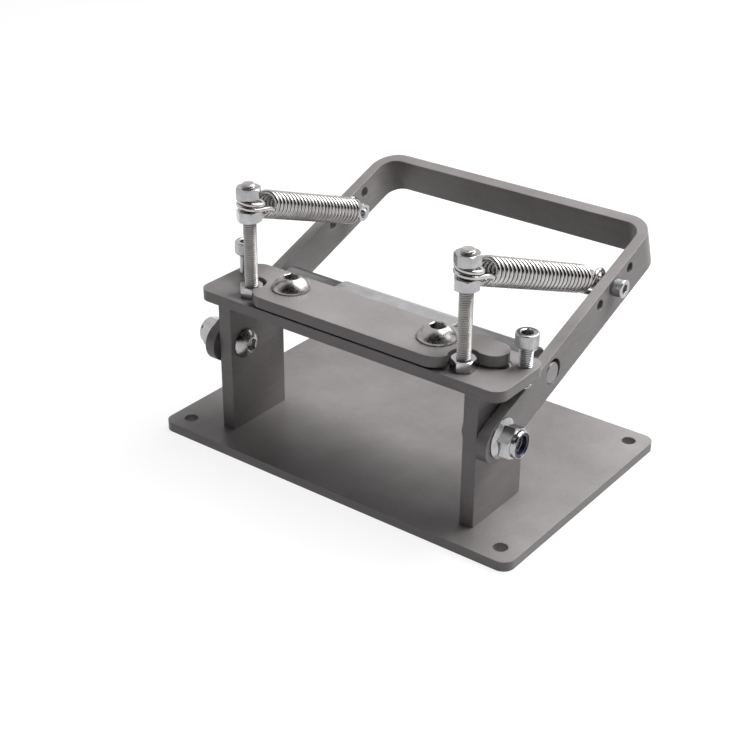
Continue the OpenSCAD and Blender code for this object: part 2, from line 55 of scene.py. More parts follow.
def nodeBox(name):
    # lowest and highest corner of a CAD node, in millimetres
    node = frame["nodes"][name]
    corners = [node.matrix_world @ Vector(corner) / mm for corner in node.bound_box]
    low = Vector([min(corner[i] for corner in corners) for i in range(3)])
    high = Vector([max(corner[i] for corner in corners) for i in range(3)])
    return low, high


print("frame loaded:", len(frame["nodes"]), "nodes")


# camera, stage and lamps

cameraSet = {
    "place": (0.347137, -0.487070, 0.353064),
    "target": (0.0, -0.025498, 0.043815),
    "roll": 0.501,  # degrees
    "lens": 71.449,  # mm
    "sensor": 36,  # mm
    "clipEnd": 20,
}


def facing(direction, axis):
    # rotation that points one of a thing's own axes along a direction
    return Vector(direction).to_track_quat(axis, "Y").to_matrix().to_4x4()


def addCamera(values):
    data = bpy.data.cameras.new("viewCamera")
    data.lens = values["lens"]
    data.sensor_width = values["sensor"]
    data.clip_end = values["clipEnd"]
    camera = bpy.data.objects.new("viewCamera", data)
    bpy.context.collection.objects.link(camera)
    place = Vector(values["place"])
    turn = facing(Vector(values["target"]) - place, "-Z")
    roll = Matrix.Rotation(math.radians(values["roll"]), 4, "Z")
    camera.matrix_world = Matrix.Translation(place) @ turn @ roll
    bpy.context.scene.camera = camera


lampSet = {
    # name: place, width, height, watts
    "keyBox": ((0.275, 0.476, 1.01), 0.7, 0.7, 14.0),
    "rearBox": ((0.156, 0.887, 0.69), 0.7, 0.5, 3.0),
    "rightBox": ((0.705, 0.329, 0.84), 0.5, 0.6, 1.8),
    "fillBox": ((-0.7, -0.6, 0.9), 0.6, 0.6, 0.25),
}
lampAim = (0.0, 0.0, 0.06)


def addLamps(values):
    for name, (place, width, height, watts) in values.items():
        data = bpy.data.lights.new(name, "AREA")
        data.shape = "RECTANGLE"
        data.size = width
        data.size_y = height
        data.energy = watts
        lamp = bpy.data.objects.new(name, data)
        bpy.context.collection.objects.link(lamp)
        turn = facing(Vector(lampAim) - Vector(place), "-Z")
        lamp.matrix_world = Matrix.Translation(place) @ turn


def seenRays(tree):
    # 1 for what the camera, a mirror or glass sees, 0 for the light that falls on the object
    path = tree.nodes.new("ShaderNodeLightPath")
    seen = path.outputs["Is Camera Ray"]
    for ray in ("Is Glossy Ray", "Is Transmission Ray"):
        either = tree.nodes.new("ShaderNodeMath")
        either.operation = "MAXIMUM"
        tree.links.new(seen, either.inputs[0])
        tree.links.new(path.outputs[ray], either.inputs[1])
        seen = either.outputs[0]
    return seen


worldSet = {
    "ambient": 0.035,  # light that the room itself gives
    "white": 1.0,  # backdrop behind the object
    "dark": 0.0,  # studio above the backdrop, which the bright metal mirrors
    "backdropTop": (0.22, 0.40),  # sine of the elevation where white turns into dark
    "front": (0.58, -0.81, 0.0),  # level direction from the object to the camera
    "rearTop": (-0.05, 0.20),  # share of that direction where the bright rear turns into dark
    "rearBright": 0.85,
}


def addWorld(values):
    world = bpy.data.worlds.new("studioWorld")
    bpy.context.scene.world = world
    world.use_nodes = True
    tree = world.node_tree
    tree.nodes.clear()

    def fade(source, span, first):
        # turns smoothly from the first strength to what the socket To Max holds
        node = tree.nodes.new("ShaderNodeMapRange")
        node.interpolation_type = "SMOOTHSTEP"
        node.inputs["From Min"].default_value = span[0]
        node.inputs["From Max"].default_value = span[1]
        node.inputs["To Min"].default_value = first
        tree.links.new(source, node.inputs["Value"])
        return node

    coords = tree.nodes.new("ShaderNodeTexCoord")
    toFront = tree.nodes.new("ShaderNodeVectorMath")
    toFront.operation = "DOT_PRODUCT"
    toFront.inputs[1].default_value = values["front"]
    tree.links.new(coords.outputs["Generated"], toFront.inputs[0])
    above = fade(toFront.outputs["Value"], values["rearTop"], values["rearBright"])
    above.inputs["To Max"].default_value = values["dark"]

    height = tree.nodes.new("ShaderNodeSeparateXYZ")
    tree.links.new(coords.outputs["Generated"], height.inputs[0])
    backdrop = fade(height.outputs["Z"], values["backdropTop"], values["white"])
    tree.links.new(above.outputs[0], backdrop.inputs["To Max"])

    ambient = tree.nodes.new("ShaderNodeBackground")
    shown = tree.nodes.new("ShaderNodeBackground")
    for node in (ambient, shown):
        node.inputs["Color"].default_value = (1, 1, 1, 1)
    ambient.inputs["Strength"].default_value = values["ambient"]
    tree.links.new(backdrop.outputs[0], shown.inputs["Strength"])

    mix = tree.nodes.new("ShaderNodeMixShader")
    out = tree.nodes.new("ShaderNodeOutputWorld")
    tree.links.new(seenRays(tree), mix.inputs["Fac"])
    tree.links.new(ambient.outputs[0], mix.inputs[1])
    tree.links.new(shown.outputs[0], mix.inputs[2])
    tree.links.new(mix.outputs[0], out.inputs["Surface"])


floorSet = {"size": 6.0, "drop": 0.0002, "paint": 0.20, "glow": 0.88}


def addFloor(values):
    half = values["size"] / 2
    mesh = bpy.data.meshes.new("floor")
    corners = [(-half, -half, 0), (half, -half, 0), (half, half, 0), (-half, half, 0)]
    mesh.from_pydata(corners, [], [(0, 1, 2, 3)])
    floor = bpy.data.objects.new("floor", mesh)
    bpy.context.collection.objects.link(floor)
    floor.location.z = -values["drop"]

    # grey paint that takes the shadow, and a glow that only the camera and mirrors see
    material = bpy.data.materials.new("floorWhite")
    material.use_nodes = True
    tree = material.node_tree
    tree.nodes.clear()
    out = tree.nodes.new("ShaderNodeOutputMaterial")
    paint = tree.nodes.new("ShaderNodeBsdfDiffuse")
    glow = tree.nodes.new("ShaderNodeEmission")
    add = tree.nodes.new("ShaderNodeAddShader")
    level = tree.nodes.new("ShaderNodeMath")
    level.operation = "MULTIPLY"
    level.inputs[1].default_value = values["glow"]
    paint.inputs["Color"].default_value = [values["paint"]] * 3 + [1]
    tree.links.new(seenRays(tree), level.inputs[0])
    tree.links.new(level.outputs[0], glow.inputs["Strength"])
    tree.links.new(paint.outputs[0], add.inputs[0])
    tree.links.new(glow.outputs[0], add.inputs[1])
    tree.links.new(add.outputs[0], out.inputs["Surface"])
    mesh.materials.append(material)


addCamera(cameraSet)
addLamps(lampSet)
addWorld(worldSet)
addFloor(floorSet)
bpy.context.scene.view_settings.view_transform = "Standard"
print("stage ready")


# materials; a noise is given as scale, detail and roughness

noiseSpan = (0.3, 0.7)  # a noise node hardly leaves this span


class Nodes:
    def __init__(self, name):
        self.material = bpy.data.materials.new(name)
        self.material.use_nodes = True
        self.tree = self.material.node_tree
        self.tree.nodes.clear()
        self.out = self.tree.nodes.new("ShaderNodeOutputMaterial")
        self.shader = self.add("ShaderNodeBsdfPrincipled")
        self.join(self.shader, 0, self.out, "Surface")

    def add(self, kind, **values):
        node = self.tree.nodes.new(kind)
        for key, value in values.items():
            setattr(node, key, value)
        return node

    def join(self, source, output, target, socket):
        self.tree.links.new(source.outputs[output], target.inputs[socket])

    def place(self, stretch=(1, 1, 1)):
        coords = self.add("ShaderNodeTexCoord")
        mapping = self.add("ShaderNodeMapping")
        mapping.inputs["Scale"].default_value = stretch
        self.join(coords, "Object", mapping, "Vector")
        return mapping

    def noise(self, where, scale, detail, rough):
        node = self.add("ShaderNodeTexNoise")
        node.inputs["Scale"].default_value = scale
        node.inputs["Detail"].default_value = detail
        node.inputs["Roughness"].default_value = rough
        self.join(where, 0, node, "Vector")
        return node

    def spread(self, source, output, target, span=noiseSpan):
        # maps a span of the source to the target's two values
        node = self.add("ShaderNodeMapRange")
        node.inputs["From Min"].default_value = span[0]
        node.inputs["From Max"].default_value = span[1]
        node.inputs["To Min"].default_value = target[0]
        node.inputs["To Max"].default_value = target[1]
        self.join(source, output, node, "Value")
        return node

    def math(self, operation, a, b):
        # a and b are numbers or pairs of node and output
        node = self.add("ShaderNodeMath", operation=operation)
        for i, item in enumerate((a, b)):
            if isinstance(item, (int, float)):
                node.inputs[i].default_value = item
            else:
                self.join(item[0], item[1], node, i)
        return node

    def blendColour(self, factor, first, second):
        # first and second are colours or nodes that mix one
        node = self.add("ShaderNodeMix", data_type="RGBA")
        self.join(factor, 0, node, 0)
        for socket, item in ((6, first), (7, second)):
            if isinstance(item, tuple):
                node.inputs[socket].default_value = (*item, 1)
            else:
                self.join(item, 2, node, socket)
        return node

    def multiply(self, colour, level):
        node = self.add("ShaderNodeMix", data_type="RGBA", blend_type="MULTIPLY")
        node.inputs[0].default_value = 1.0
        self.join(colour, 2, node, 6)
        self.join(level, 0, node, 7)
        return node

    def clouded(self, noise, values):
        # dark and light colour in the noise's soft patches
        return self.blendColour(self.spread(noise, "Fac", (0, 1)), values["dark"], values["light"])

    def bevel(self, radius):
        # rounds off the normals at sharp edges
        node = self.add("ShaderNodeBevel", samples=4)
        node.inputs["Radius"].default_value = radius
        return node

    def edgeMask(self, bevel, gain):
        # 0 on flat faces, up to 1 where the rounded normal turns away from the face
        flat = self.add("ShaderNodeNewGeometry")
        dot = self.add("ShaderNodeVectorMath", operation="DOT_PRODUCT")
        self.join(bevel, "Normal", dot, 0)
        self.join(flat, "Normal", dot, 1)
        turned = self.math("SUBTRACT", 1.0, (dot, "Value"))
        scaled = self.math("MULTIPLY", (turned, 0), gain)
        scaled.use_clamp = True
        return scaled

    def shade(self, colour, values):
        # painted shade: darkens a colour by ambient occlusion where surfaces stand close, down to
        # the share that is kept
        node = self.add("ShaderNodeAmbientOcclusion", samples=8, only_local=True)
        node.inputs["Distance"].default_value = values["reach"]
        return self.multiply(colour, self.spread(node, "AO", (values["kept"], 1.0), values["span"]))

    def bump(self, height, strength, depth, normal=None):
        node = self.add("ShaderNodeBump")
        node.inputs["Strength"].default_value = strength
        node.inputs["Distance"].default_value = depth
        self.join(height, "Fac", node, "Height")
        if normal:
            self.join(normal, "Normal", node, "Normal")
        self.join(node, 0, self.shader, "Normal")


plateFinish = {
    "dark": (0.235, 0.216, 0.217),
    "light": (0.345, 0.324, 0.326),
    "edge": (0.60, 0.58, 0.58),  # painted edge highlight, in patches like rubbed-off coating
    "metallic": 0.14,
    "rough": (0.40, 0.52),
    "cloud": (26.0, 5, 0.6),
    "streak": (60.0, 3, 0.6),
    "streakStretch": (1, 1, 9),
    "streakShare": 0.25,
    "toneSpan": (0.32, 0.68),
    "grain": (2600.0, 2, 0.7),
    "grainTone": (0.86, 1.14),
    "grainSpan": (0.25, 0.75),
    "grainBump": 0.5,
    "grainDepth": 0.00003,
    "edgeRadius": 0.0005,
    "edgeGain": 2.2,
    "edgeWearAndSheen": (420.0, 3, 0.6),
    "edgeWearAndSheenShare": (0.1, 1.0),
    "edgeWearAndSheenSpan": (0.35, 0.65),
}


def makePlateSteel(v):
    n = Nodes("blastedSteel")
    where = n.place()
    cloud = n.noise(where, *v["cloud"])
    streak = n.noise(n.place(v["streakStretch"]), *v["streak"])
    grain = n.noise(where, *v["grain"])
    tone = n.math("MULTIPLY_ADD", (cloud, "Fac"), 1 - v["streakShare"])
    n.join(n.math("MULTIPLY", (streak, "Fac"), v["streakShare"]), 0, tone, 2)
    body = n.blendColour(n.spread(tone, 0, (0, 1), v["toneSpan"]), v["dark"], v["light"])
    body = n.multiply(body, n.spread(grain, "Fac", v["grainTone"], v["grainSpan"]))
    bevel = n.bevel(v["edgeRadius"])
    # lighter edges: painted highlight along every edge, in patches like rubbed-off coating
    patchy = n.spread(n.noise(where, *v["edgeWearAndSheen"]), "Fac", v["edgeWearAndSheenShare"], v["edgeWearAndSheenSpan"])
    edgeWearAndSheen = n.math("MULTIPLY", (n.edgeMask(bevel, v["edgeGain"]), 0), (patchy, 0))
    n.join(n.blendColour(edgeWearAndSheen, body, v["edge"]), 2, n.shader, "Base Color")
    n.shader.inputs["Metallic"].default_value = v["metallic"]
    n.join(n.spread(cloud, "Fac", v["rough"]), 0, n.shader, "Roughness")
    n.bump(grain, v["grainBump"], v["grainDepth"], bevel)
    return n.material


# bare metals: a cloud noise for the colour, a fine noise for roughness and bump

brightFinish = {
    "dark": (0.36, 0.36, 0.365),
    "light": (0.52, 0.52, 0.53),
    "rough": (0.14, 0.26),
    "cloud": (160, 4, 0.6),
    "fine": (900, 3, 0.6),
    "bump": 0.25,
    "depth": 0.00002,
    "edgeRadius": 0.00025,
}

threadFinish = {
    **brightFinish,
    "dark": (0.34, 0.33, 0.32),
    "light": (0.48, 0.465, 0.455),
    "rough": (0.34, 0.46),
    "edgeRadius": 0.0001,
}

domeFinish = {
    **brightFinish,
    "dark": (0.30, 0.29, 0.285),
    "light": (0.50, 0.485, 0.475),
    "rough": (0.20, 0.36),
}

wireFinish = {
    "dark": (0.42, 0.405, 0.395),
    "light": (0.60, 0.585, 0.575),
    "rough": (0.12, 0.24),
    "cloud": (220, 4, 0.6),
    "fine": (1500, 2, 0.5),
    "bump": 0.2,
    "depth": 0.00002,
    "gapShade": {"reach": 0.003, "kept": 0.05, "span": (0.30, 0.75)},  # painted shade between the turns
}

groundFinish = {
    "dark": (0.40, 0.40, 0.41),
    "light": (0.55, 0.55, 0.56),
    "rough": (0.24, 0.36),
    "cloud": (70, 3, 0.6),
    "fine": (300, 3, 0.6),
    "stretch": (0.4, 12, 12),  # grinding lines along the edge
    "bump": 0.35,
    "depth": 0.00003,
    "edgeRadius": 0.0003,
}

rollerFinish = {
    **groundFinish,
    "dark": (0.20, 0.195, 0.20),
    "light": (0.30, 0.29, 0.295),
    "rough": (0.30, 0.42),
    "stretch": (14, 0.6, 0.6),  # turning lines round the roller
}


def makeMetal(name, v):
    n = Nodes(name)
    body = n.clouded(n.noise(n.place(), *v["cloud"]), v)
    # painted shade where the spring's turns shade each other
    if "gapShade" in v:
        body = n.shade(body, v["gapShade"])
    n.join(body, 2, n.shader, "Base Color")
    n.shader.inputs["Metallic"].default_value = 1.0
    fine = n.noise(n.place(v.get("stretch", (1, 1, 1))), *v["fine"])
    n.join(n.spread(fine, "Fac", v["rough"]), 0, n.shader, "Roughness")
    bevel = n.bevel(v["edgeRadius"]) if "edgeRadius" in v else None
    n.bump(fine, v["bump"], v["depth"], bevel)
    return n.material


nylonFinish = {
    "dark": (0.004, 0.006, 0.030),
    "light": (0.010, 0.014, 0.070),
    "rough": 0.38,
    "cloud": (500, 3, 0.6),
    "bump": 0.3,
    "depth": 0.00003,
}


def makeNylon(v):
    n = Nodes("blueNylon")
    cloud = n.noise(n.place(), *v["cloud"])
    n.join(n.clouded(cloud, v), 2, n.shader, "Base Color")
    n.shader.inputs["Roughness"].default_value = v["rough"]
    n.bump(cloud, v["bump"], v["depth"])
    return n.material


threadSteel = makeMetal("threadedSteel", threadFinish)
domeSteel = makeMetal("buttonHeadSteel", domeFinish)
groundBlade = makeMetal("groundBlade", groundFinish)
brightSteel = makeMetal("brightStainless", brightFinish)
springWire = makeMetal("polishedWire", wireFinish)

slotMaterials = {
    "plate_steel": makePlateSteel(plateFinish),
    "fastener_steel": brightSteel,
    "spring_wire": springWire,
    "ground_steel": makeMetal("turnedSteel", rollerFinish),
    "nylon_ring": makeNylon(nylonFinish),
}


def dressNode(node, material):
    mesh = frame["nodes"][node].data
    if not mesh.materials:
        mesh.materials.append(material)
    for i in range(len(mesh.materials)):
        mesh.materials[i] = material


for part in frame["record"]["subparts"]:
    dressNode(part["node"], slotMaterials[part["material_slot"]])
dressNode("blade", groundBlade)
print("materials ready")


# mesh helpers

sharpAngle = {"thread": 40, "screw": 28, "wire": 50}  # degrees between faces that stay sharp


def makeMesh(name, points, faces, weld=1e-7):
    mesh = bpy.data.meshes.new(name)
    mesh.from_pydata([tuple(p) for p in points], [], faces)
    work = bmesh.new()
    work.from_mesh(mesh)
    bmesh.ops.remove_doubles(work, verts=work.verts, dist=weld)
    bmesh.ops.delete(work, geom=[v for v in work.verts if not v.link_faces], context="VERTS")
    bmesh.ops.holes_fill(work, edges=[e for e in work.edges if e.is_boundary], sides=0)
    bmesh.ops.recalc_face_normals(work, faces=work.faces)
    work.to_mesh(mesh)
    work.free()
    return mesh


def placeMesh(mesh, matrix):
    mesh.transform(matrix)
    mesh.update()
    return mesh


def joinMeshes(name, meshes):
    work = bmesh.new()
    for mesh in meshes:
        work.from_mesh(mesh)
        bpy.data.meshes.remove(mesh)
    joined = bpy.data.meshes.new(name)
    work.to_mesh(joined)
    work.free()
    return joined


def addPiece(name, mesh, material, edges="screw"):
    mesh.materials.clear()
    mesh.materials.append(material)
    for face in mesh.polygons:
        face.use_smooth = True
    mesh.set_sharp_from_angle(angle=math.radians(sharpAngle[edges]))
    piece = bpy.data.objects.new(name, mesh)
    bpy.context.collection.objects.link(piece)
    return piece


def gridFaces(rows, around):
    # four-sided faces between rings that have the same number of points
    faces = []
    for i in range(rows - 1):
        for j in range(around):
            k = (j + 1) % around
            low, high = i * around, (i + 1) * around
            faces.append((low + j, low + k, high + k, high + j))
    return faces


threadDepth = 0.5413  # of a metric thread, as a share of its pitch


def threadMesh(name, length, diameter, pitch, nearEnd, farEnd, around=44):
    # crest, flanks and root of a metric thread, wound as one skin
    major = diameter / 2
    minor = major - threadDepth * pitch
    profile = ((0.0, major), (0.125, major), (0.4375, minor), (0.6875, minor))
    turns = int(math.ceil(length / pitch)) + 2
    points = []
    for turn in range(turns):
        for share, radius in profile:
            for j in range(around):
                z = (turn - 1 + share + j / around) * pitch
                z = min(max(z, 0.0), length)
                r = min(radius, nearEnd(z), farEnd(length - z))
                angle = 2 * math.pi * j / around
                points.append((r * math.cos(angle), r * math.sin(angle), z))
    step = len(profile)
    rows = turns * step
    faces = []
    for i in range(rows - 1):
        for j in range(around):
            if j < around - 1:
                a, b = i * around + j + 1, (i + 1) * around + j + 1
            elif i + 1 + step < rows:
                # the last column joins the first one of the next turn
                a, b = (i + step) * around, (i + 1 + step) * around
            else:
                continue
            faces.append((i * around + j, a, b, (i + 1) * around + j))
    return makeMesh(name, points, faces, 1e-6)


def chamferEnd(diameter, cut):
    # largest radius near a chamfered end
    return lambda z: diameter / 2 - cut + z


def domeEnd(radius, flat):
    # largest radius near a rounded end; flat is the small face left in its middle
    def limit(z):
        if z >= radius:
            return radius
        return max(flat, math.sqrt(max(0.0, radius**2 - (radius - z) ** 2)))

    return limit


def latheMesh(name, rings, around):
    # each ring is a height and a radius, or a function that gives the radius
    points = []
    for z, radius in rings:
        for j in range(around):
            angle = 2 * math.pi * j / around
            r = radius(j) if callable(radius) else radius
            points.append((r * math.cos(angle), r * math.sin(angle), z))
    return makeMesh(name, points, gridFaces(len(rings), around))


socketSet = {"mouthOut": 0.15, "mouthDown": 0.3, "cone": 0.6}  # mm


def socketCorner(v):
    return v["socket"] / 2 * mm / math.cos(math.radians(30))


def socketRings(v, floor, around):
    # chamfered mouth, six walls and a shallow cone, from the head's face down
    height = v["headH"] * mm

    def walls(j):
        # radius of the hexagon at each of the ring's points
        return v["socket"] / 2 * mm / math.cos(math.radians((360 * j / around) % 60 - 30))

    return [
        (height, socketCorner(v) + socketSet["mouthOut"] * mm),
        (height - socketSet["mouthDown"] * mm, walls),
        (floor, walls),
        (floor - socketSet["cone"] * mm, 0.0),
    ]


def knurlDepthAt(i, j, depth):
    # two crossing sets of V grooves, four points to a groove
    first = 1 - abs(2 * ((i + j) / 4 % 1) - 1)
    second = 1 - abs(2 * ((i - j) / 4 % 1) - 1)
    return depth * max(first, second)


capHeadSet = {
    "foot": (0.4, 0.35),  # mm, chamfer at the seat, inwards and up
    "knurlFrom": 0.5,  # mm
    "rimGap": 0.1,  # mm between knurl and rim
    "rimSteps": 4,
    "socketFloor": 0.5,  # share of the head's height
}


def capHeadMesh(name, v):
    # socket cap head with its seat at 0: knurled side, rounded rim, hexagon socket
    around = v["knurls"] * 4
    radius = v["headD"] / 2 * mm
    height = v["headH"] * mm
    rim = v["rim"] * mm
    knurl = v["knurlDepth"] * mm
    inwards, up = (value * mm for value in capHeadSet["foot"])
    rings = [(0.0, 0.0), (0.0, radius - inwards), (up, radius - knurl)]
    low, high = capHeadSet["knurlFrom"] * mm, height - rim
    rows = round((high - low) / (2 * math.pi * radius / around))
    for i in range(rows + 1):
        z = low + (high - low) * i / rows
        rings.append((z, lambda j, i=i: radius - knurlDepthAt(i, j, knurl)))
    gap = capHeadSet["rimGap"] * mm
    for i in range(capHeadSet["rimSteps"] + 1):
        turn = i / capHeadSet["rimSteps"] * math.pi / 2
        z = high + gap + (rim - gap) * math.sin(turn)
        rings.append((z, radius - knurl / 2 - rim * (1 - math.cos(turn))))
    rings += socketRings(v, height * capHeadSet["socketFloor"], around)
    return latheMesh(name, rings, around)


buttonHeadSet = {
    "around": 72,
    "domeSteps": 16,
    "seatEdge": 0.2,  # mm, chamfer at the seat
    "faceEdge": 0.5,  # mm, flat ring between socket and dome
    "socketFloor": 0.42,  # share of the head's height
}


def buttonHeadMesh(name, v):
    # socket button head with its seat at 0; the dome runs from the rim to the face's edge
    around = buttonHeadSet["around"]
    edge = buttonHeadSet["seatEdge"] * mm
    radius = v["headD"] / 2 * mm
    height = v["headH"] * mm
    rim = v["rim"] * mm
    face = socketCorner(v) + buttonHeadSet["faceEdge"] * mm
    centre = (face**2 + height**2 - radius**2 - rim**2) / (2 * (height - rim))
    dome = math.hypot(face, height - centre)
    rings = [(0.0, 0.0), (0.0, radius - edge), (edge, radius), (rim, radius)]
    first = math.atan2(radius, rim - centre)
    last = math.atan2(face, height - centre)
    steps = buttonHeadSet["domeSteps"]
    for i in range(1, steps + 1):
        angle = first + (last - first) * i / steps
        rings.append((centre + dome * math.cos(angle), dome * math.sin(angle)))
    rings += socketRings(v, height * buttonHeadSet["socketFloor"], around)
    return latheMesh(name, rings, around)


def screwMesh(name, v, head, length, tip):
    # shank from its tip at -length up into the head, which stands on 0
    shank = threadMesh(
        "shank",
        (length + v["intoHead"]) * mm,
        v["d"] * mm,
        v["pitch"] * mm,
        tip,
        chamferEnd(v["d"] * mm, 0.0),
    )
    placeMesh(shank, Matrix.Translation((0, 0, -length * mm)))
    return joinMeshes(name, [head, shank])


wireEnd = {"out": 0.12, "narrow": 0.86}  # shares of the wire's radius


def wireMesh(name, path, radius, around=14):
    # round wire along a list of points, with softened cut ends
    count = len(path)
    tangents = []
    for i in range(count):
        ahead, behind = path[min(i + 1, count - 1)], path[max(i - 1, 0)]
        tangents.append((ahead - behind).normalized())
    rings = []
    end = wireEnd["out"] * radius
    side = tangents[0].orthogonal().normalized()
    for i in range(count):
        side = (side - tangents[i] * side.dot(tangents[i])).normalized()
        up = tangents[i].cross(side)
        if i == 0:
            rings.append((i, path[0] - tangents[0] * end, side, up, wireEnd["narrow"]))
        rings.append((i, path[i], side, up, 1.0))
        if i == count - 1:
            rings.append((i, path[i] + tangents[i] * end, side, up, wireEnd["narrow"]))
    points, owner = [], []  # owner is the path point that each mesh point stands round
    for i, centre, side, up, scale in rings:
        for j in range(around):
            angle = 2 * math.pi * j / around
            out = side * math.cos(angle) + up * math.sin(angle)
            points.append(centre + out * radius * scale)
            owner.append(i)
    faces = gridFaces(len(rings), around)
    faces.append(tuple(reversed(range(around))))
    faces.append(tuple(range((len(rings) - 1) * around, len(rings) * around)))
    mesh = bpy.data.meshes.new(name)
    mesh.from_pydata([tuple(p) for p in points], [], faces)
    mesh.update()
    return mesh, owner


def hermite(p0, m0, p1, m1, count):
    # points after p0 up to p1 on the curve that leaves along m0 and arrives along m1
    points = []
    for i in range(1, count + 1):
        t = i / count
        points.append(
            p0 * (2 * t**3 - 3 * t**2 + 1)
            + m0 * (t**3 - 2 * t**2 + t)
            + p1 * (-2 * t**3 + 3 * t**2)
            + m1 * (t**3 - t**2)
        )
    return points


# studs

studSet = {"d": 6.0, "pitch": 1.0, "cut": 0.6}


def addStuds(v):
    end = chamferEnd(v["d"] * mm, v["cut"] * mm)
    for name in sides:
        low, high = nodeBox(name + "_stud")
        length = (high.z - low.z) * mm
        mesh = threadMesh(name + "Stud", length, v["d"] * mm, v["pitch"] * mm, end, end)
        foot = Vector(((low.x + high.x) / 2, (low.y + high.y) / 2, low.z))
        placeMesh(mesh, Matrix.Translation(foot * mm))
        stud = addPiece(name + "StudThread", mesh, threadSteel, "thread")
        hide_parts(name + "_stud")
        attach(stud, "frame")


addStuds(studSet)
print("studs ready")


# button head screws: two through the clamp plate, one through each upright

clampScrewSet = {
    "headD": 17.5,
    "headH": 5.5,
    "rim": 0.7,
    "socket": 6.0,
    "d": 10.0,
    "pitch": 1.5,
    "cut": 1.0,
    "intoHead": 0.3,
    "turn": {"left": 8.0, "right": 22.0},  # degrees, how the screws happened to stop
}

pivotScrewSet = {
    "headD": 14.0,
    "headH": 4.4,
    "rim": 0.6,
    "socket": 5.0,
    "d": 8.0,
    "pitch": 1.25,
    "cut": 0.8,
    "intoHead": 0.3,
    "turn": {"left": 14.0, "right": 41.0},
}


def buttonScrewMesh(name, v, length, side):
    turn = Matrix.Rotation(math.radians(v["turn"][side]), 4, "Z")
    head = placeMesh(buttonHeadMesh("head", v), turn)
    return screwMesh(name, v, head, length, chamferEnd(v["d"] * mm, v["cut"] * mm))


def addClampScrews(v):
    low, high = nodeBox("clamp_screws")
    face = nodeBox("clamp_plate")[1].z
    for name, s in sides.items():
        seat = Vector((s * (high.x - v["headD"] / 2), (low.y + high.y) / 2, face))
        mesh = buttonScrewMesh(name + "ClampScrew", v, face - low.z, name)
        placeMesh(mesh, Matrix.Translation(seat * mm))
        screw = addPiece(name + "ClampScrew", mesh, domeSteel)
        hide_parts("clamp_screws")
        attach(screw, "frame")


def addPivotScrews(v):
    low, high = nodeBox("right_pivot_screw")
    face = nodeBox("right_upright")[0].x
    for name, s in sides.items():
        seat = Vector((s * face, (low.y + high.y) / 2, (low.z + high.z) / 2))
        mesh = buttonScrewMesh(name + "PivotScrew", v, high.x - face, name)
        placeMesh(mesh, Matrix.Translation(seat * mm) @ facing((-s, 0, 0), "Z"))
        screw = addPiece(name + "PivotScrew", mesh, domeSteel)
        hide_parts(name + "_pivot_screw")
        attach(screw, "frame")


addClampScrews(clampScrewSet)
addPivotScrews(pivotScrewSet)
print("button head screws ready")


# adjusting screws

adjusterSet = {
    "d": 6.0,
    "pitch": 1.0,
    "headD": 10.0,
    "headH": 6.0,
    "socket": 5.0,
    "rim": 0.7,
    "knurls": 36,
    "knurlDepth": 0.18,
    "tipFlat": 0.4,
    "intoHead": 0.1,
}


def capScrewMesh(name, v, length):
    tip = domeEnd(v["d"] / 2 * mm, v["tipFlat"] * mm)
    return screwMesh(name, v, capHeadMesh("head", v), length, tip)


def addAdjusters(v):
    for name in sides:
        low, high = nodeBox(name + "_adjusting_screw")
        seat = Vector(((low.x + high.x) / 2, (low.y + high.y) / 2, high.z - v["headH"]))
        mesh = capScrewMesh(name + "Adjuster", v, seat.z - low.z)
        placeMesh(mesh, Matrix.Translation(seat * mm))
        screw = addPiece(name + "AdjusterThread", mesh, brightSteel)
        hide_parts(name + "_adjusting_screw")
        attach(screw, name + "_adjuster")


addAdjusters(adjusterSet)
print("adjusting screws ready")


# spring screws

springScrewSet = {
    "restAngle": 20.0,  # degrees, the handle's tilt, which the heads' sockets share
    "d": 5.0,
    "pitch": 0.8,
    "headD": 8.5,
    "headH": 5.0,
    "socket": 4.0,
    "rim": 0.6,
    "knurls": 30,
    "knurlDepth": 0.16,
    "tipFlat": 1.2,
    "intoHead": 0.1,
}


def springScrewSeat(s):
    # where a spring screw's head meets the arm, and how far the shank reaches inwards
    low, high = nodeBox("right_spring_screw")
    armFace = nodeBox("handle")[1].x
    return Vector((s * armFace, (low.y + high.y) / 2, (low.z + high.z) / 2)), armFace - low.x


def addSpringScrews(v):
    turn = Matrix.Rotation(math.radians(v["restAngle"]), 4, "X")
    for name, s in sides.items():
        seat, length = springScrewSeat(s)
        mesh = capScrewMesh(name + "SpringScrew", v, length)
        placeMesh(mesh, Matrix.Translation(seat * mm) @ turn @ facing((s, 0, 0), "Z"))
        screw = addPiece(name + "SpringScrewThread", mesh, brightSteel)
        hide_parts(name + "_spring_screw")
        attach(screw, "handle")


addSpringScrews(springScrewSet)
print("spring screws ready")


# springs: the loops round the stud and the lead to the coil, then the coil with its rear loop

springSet = {
    "wire": 2.1,
    "loopR": 5.35,
    "slip": 0.02,  # gap that keeps a loop off its stud or screw
    "lead": 9.0,  # from the front loop's middle to the coil
    "leadPull": (11.0, 7.0),  # how stiffly the lead leaves the loop and meets the coil
    "leadSteps": 16,
    "turns": 25,
    "perTurn": 36,
    "startAngle": -25.0,
    "endAngle": {"left": -75.0, "right": -62.0},
    "loopTurns": 1.72,
    "loopPitch": 2.12,
    "loopTilt": (7.0, 2.5),  # degrees, down to the rear and down to the right
    "loopRise": 0.12,
    "hookLead": 7.2,
    "hookPull": (4.0, 6.0),
    "hookSteps": 14,
    "hookSide": 3.6,  # from the coil's middle outwards to the rear loop
    "rearX": 64.3,
    "rearSweep": 292.0,
    "rearSteps": 37,
    "rearShift": 0.6,
}
shareStep = 1e-4  # of the coil, to find its direction at an end


